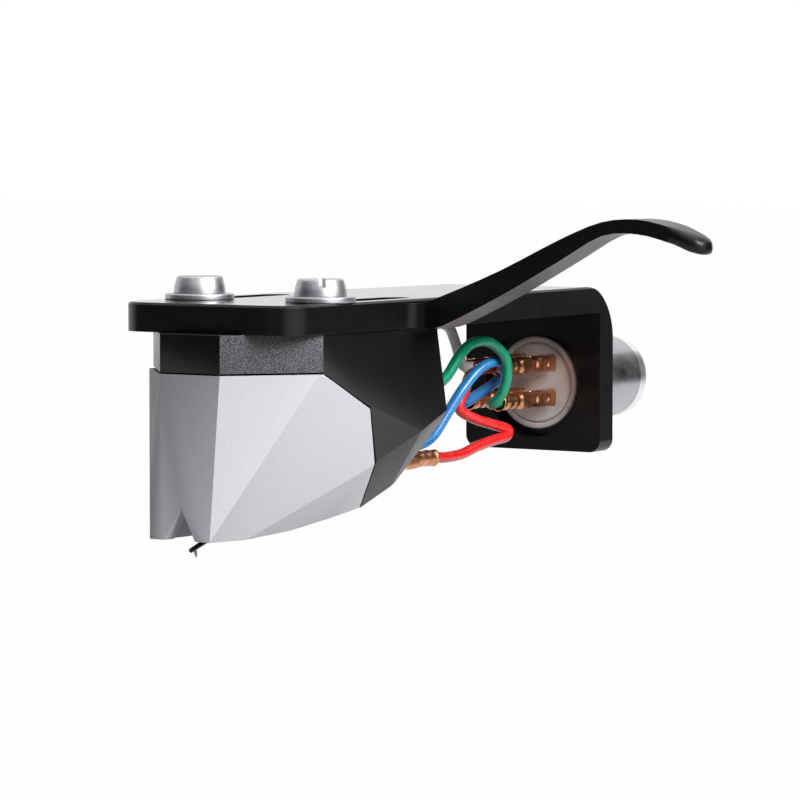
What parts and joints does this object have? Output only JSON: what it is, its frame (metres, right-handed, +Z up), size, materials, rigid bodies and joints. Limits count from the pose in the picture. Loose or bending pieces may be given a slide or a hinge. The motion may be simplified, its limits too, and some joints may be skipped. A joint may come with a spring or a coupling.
{
  "type": "headshell-mounted turntable stylus cartridge",
  "caption": "Faceted phono cartridge with a pull-off stylus assembly, screwed under a slotted headshell with a finger lift, bayonet barrel and coloured leads.",
  "frame": {"origin": "centre of the bayonet barrel's rear end face", "axes": "+Y out of the barrel's end towards the tonearm, +X to the finger lift's side, +Z up, away from the record"},
  "size_m": [0.0466, 0.0722, 0.0284],
  "materials": {
    "headshell_black": "satin black anodised",
    "barrel_metal": "turned",
    "steel": "satin",
    "plated_steel": "bright plated",
    "gasket_rubber": "matt",
    "insulator_white": "moulded",
    "contact_gold": "gold plated",
    "body_black": "spark-eroded mould texture",
    "housing_silver": "matt metallic grey",
    "coil_copper": "enamelled wire",
    "tube_metal": "drawn",
    "plug_brass": "turned",
    "cantilever_dark": "black anodised",
    "magnet_dark": "nickel plated",
    "diamond": "ground and polished",
    "lead_red": "extruded",
    "lead_green": "extruded",
    "lead_blue": "extruded",
    "lead_white": "extruded",
    "clip_copper": "bare copper"
  },
  "bodies": {
    "headshell_unit": {"headshell": "headshell_black", "connector_barrel": "barrel_metal", "key_pin": "steel", "barrel_gasket": "gasket_rubber", "contact_insulator": "insulator_white", "contact_pin_1": "contact_gold", "contact_pin_2": "contact_gold", "contact_pin_3": "contact_gold", "contact_pin_4": "contact_gold", "mount_screw_left": "plated_steel", "mount_screw_right": "plated_steel", "washer_left": "plated_steel", "washer_right": "plated_steel", "body_shell": "body_black", "magnetic_shield": "steel", "terminal_block": "body_black", "terminal_pin_1": "contact_gold", "terminal_pin_2": "contact_gold", "terminal_pin_3": "contact_gold", "terminal_pin_4": "contact_gold", "coil_1": "coil_copper", "coil_2": "coil_copper", "coil_3": "coil_copper", "coil_4": "coil_copper", "pole_piece_1": "steel", "pole_piece_2": "steel", "pole_piece_3": "steel", "pole_piece_4": "steel", "lead_red": "lead_red", "lead_green": "lead_green", "lead_blue": "lead_blue", "lead_white": "lead_white", "shell_clip_red": "clip_copper", "shell_clip_green": "clip_copper", "shell_clip_blue": "clip_copper", "shell_clip_white": "clip_copper", "body_clip_red": "clip_copper", "body_clip_green": "clip_copper", "body_clip_blue": "clip_copper", "body_clip_white": "clip_copper"},
    "stylus_unit": {"stylus_housing": "housing_silver", "stylus_tube": "tube_metal", "tube_plug": "plug_brass", "damper_ring": "gasket_rubber", "tie_wire": "steel"},
    "pivot_unit": {"pivot_collar": "plug_brass"},
    "cantilever_unit": {"cantilever": "cantilever_dark", "magnet": "magnet_dark", "stylus_tip": "diamond"}
  },
  "joints": [
    {"name": "stylus_pull_off", "type": "slide", "parent": "headshell_unit", "child": "stylus_unit", "axis": [0, -0.9578, -0.2874], "range_m": [0, 0.02]},
    {"name": "cantilever_sideways", "type": "hinge", "parent": "stylus_unit", "child": "pivot_unit", "pos_m": [0, -0.06124, -0.00856], "axis": [0, -0.2874, 0.9578], "range_deg": [-3, 3], "stiffness_Nm_per_rad": 0.0035},
    {"name": "cantilever_up_down", "type": "hinge", "parent": "pivot_unit", "child": "cantilever_unit", "pos_m": [0, -0.06124, -0.00856], "axis": [1, 0, 0], "range_deg": [-3, 3], "stiffness_Nm_per_rad": 0.0035}
  ]
}
